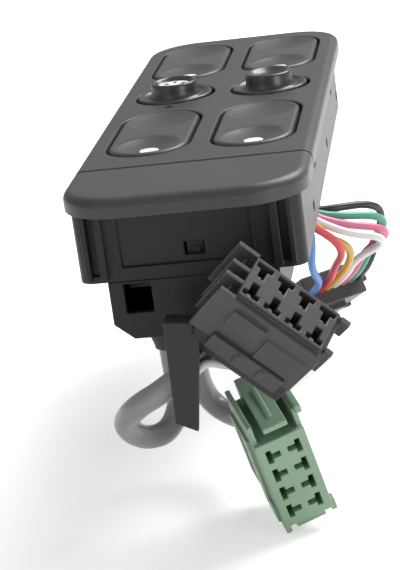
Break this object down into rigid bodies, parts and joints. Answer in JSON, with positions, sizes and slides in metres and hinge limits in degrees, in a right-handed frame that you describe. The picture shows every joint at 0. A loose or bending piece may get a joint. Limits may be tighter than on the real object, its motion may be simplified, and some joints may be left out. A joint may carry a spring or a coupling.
{
  "type": "power window switch",
  "caption": "Power window switch panel with rocker switches, two tilting knobs, an end trim cap and a cable harness that ends in a black, a green and a small side plug.",
  "frame": {"origin": "middle of the plane that the face flange seats on", "axes": "+X right across the face, +Y along the panel away from the plug end, +Z out of the face"},
  "size_m": [0.0604, 0.1684, 0.0767],
  "materials": {
    "face_plastic": "satin",
    "rocker_plastic": "satin",
    "knob_plastic": "satin",
    "print_white": "matte",
    "casing_plastic": "satin",
    "carrier_plastic": "matte",
    "relay_plastic": "matte",
    "board_laminate": "satin",
    "mat_rubber": "matte",
    "lamp_clear": "gloss",
    "lamp_smoked": "gloss",
    "screw_steel": "satin",
    "plug_black": "satin",
    "plug_green": "satin",
    "terminal_brass": "satin",
    "cable_sheath": "satin",
    "wire_blue": "satin",
    "wire_red": "satin",
    "wire_yellow": "satin",
    "wire_black": "satin",
    "wire_white": "satin",
    "wire_pink": "satin",
    "wire_green": "satin",
    "wire_brown": "satin"
  },
  "bodies": {
    "panel": {"bezel": "face_plastic", "end_cap": "face_plastic", "upper_casing": "casing_plastic", "lower_casing": "casing_plastic", "switch_carrier": "carrier_plastic", "board_header": "carrier_plastic", "relay_1": "relay_plastic", "relay_2": "relay_plastic", "relay_3": "relay_plastic", "relay_4": "relay_plastic", "circuit_board": "board_laminate", "dome_mat": "mat_rubber", "cable_gland_black": "mat_rubber", "cable_gland_green": "mat_rubber", "side_gland": "mat_rubber", "board_lamps": "lamp_clear", "lamp_window": "lamp_smoked", "board_screws": "screw_steel", "casing_screws": "screw_steel", "black_plug": "plug_black", "black_plug_lock": "plug_black", "black_plug_cover": "plug_black", "side_plug": "plug_black", "green_plug": "plug_green", "black_plug_terminals": "terminal_brass", "green_plug_terminals": "terminal_brass", "black_cable": "cable_sheath", "green_cable": "cable_sheath", "side_wire_blue": "wire_blue", "side_wire_red": "wire_red", "side_wire_yellow": "wire_yellow", "side_wire_black": "wire_black", "side_wire_white": "wire_white", "side_wire_pink": "wire_pink", "side_wire_green": "wire_green", "lead_blue": "wire_blue", "lead_white": "wire_white", "lead_brown": "wire_brown"},
    "rocker_body_rear_left": {"rocker_rear_left": "rocker_plastic", "indicator_rear_left": "print_white"},
    "rocker_body_rear_right": {"rocker_rear_right": "rocker_plastic", "indicator_rear_right": "print_white"},
    "rocker_body_front_left": {"rocker_front_left": "rocker_plastic", "indicator_front_left": "print_white"},
    "rocker_body_front_right": {"rocker_front_right": "rocker_plastic", "indicator_front_right": "print_white"},
    "ring_body_left": {"gimbal_ring_left": "carrier_plastic"},
    "knob_body_left": {"knob_left": "knob_plastic", "knob_symbol": "print_white"},
    "ring_body_right": {"gimbal_ring_right": "carrier_plastic"},
    "knob_body_right": {"knob_right": "knob_plastic"}
  },
  "joints": [
    {"name": "rocker_tilt_rear_left", "type": "hinge", "parent": "panel", "child": "rocker_body_rear_left", "pos_m": [-0.01135, 0.0481, -0.001], "axis": [1, 0, 0], "range_deg": [-5, 5], "stiffness_Nm_per_rad": 0.1},
    {"name": "rocker_tilt_rear_right", "type": "hinge", "parent": "panel", "child": "rocker_body_rear_right", "pos_m": [0.01135, 0.0481, -0.001], "axis": [1, 0, 0], "range_deg": [-5, 5], "stiffness_Nm_per_rad": 0.1},
    {"name": "rocker_tilt_front_left", "type": "hinge", "parent": "panel", "child": "rocker_body_front_left", "pos_m": [-0.01135, -0.02365, -0.001], "axis": [1, 0, 0], "range_deg": [-5, 5], "stiffness_Nm_per_rad": 0.1},
    {"name": "rocker_tilt_front_right", "type": "hinge", "parent": "panel", "child": "rocker_body_front_right", "pos_m": [0.01135, -0.02365, -0.001], "axis": [1, 0, 0], "range_deg": [-5, 5], "stiffness_Nm_per_rad": 0.1},
    {"name": "knob_sideways_left", "type": "hinge", "parent": "panel", "child": "ring_body_left", "pos_m": [-0.01135, 0.01215, 0], "axis": [0, 1, 0], "range_deg": [-5, 5], "stiffness_Nm_per_rad": 0.05},
    {"name": "knob_lengthwise_left", "type": "hinge", "parent": "ring_body_left", "child": "knob_body_left", "pos_m": [-0.01135, 0.01215, 0], "axis": [1, 0, 0], "range_deg": [-5, 5], "stiffness_Nm_per_rad": 0.05},
    {"name": "knob_sideways_right", "type": "hinge", "parent": "panel", "child": "ring_body_right", "pos_m": [0.01135, 0.01215, 0], "axis": [0, 1, 0], "range_deg": [-5, 5], "stiffness_Nm_per_rad": 0.05},
    {"name": "knob_lengthwise_right", "type": "hinge", "parent": "ring_body_right", "child": "knob_body_right", "pos_m": [0.01135, 0.01215, 0], "axis": [1, 0, 0], "range_deg": [-5, 5], "stiffness_Nm_per_rad": 0.05}
  ]
}
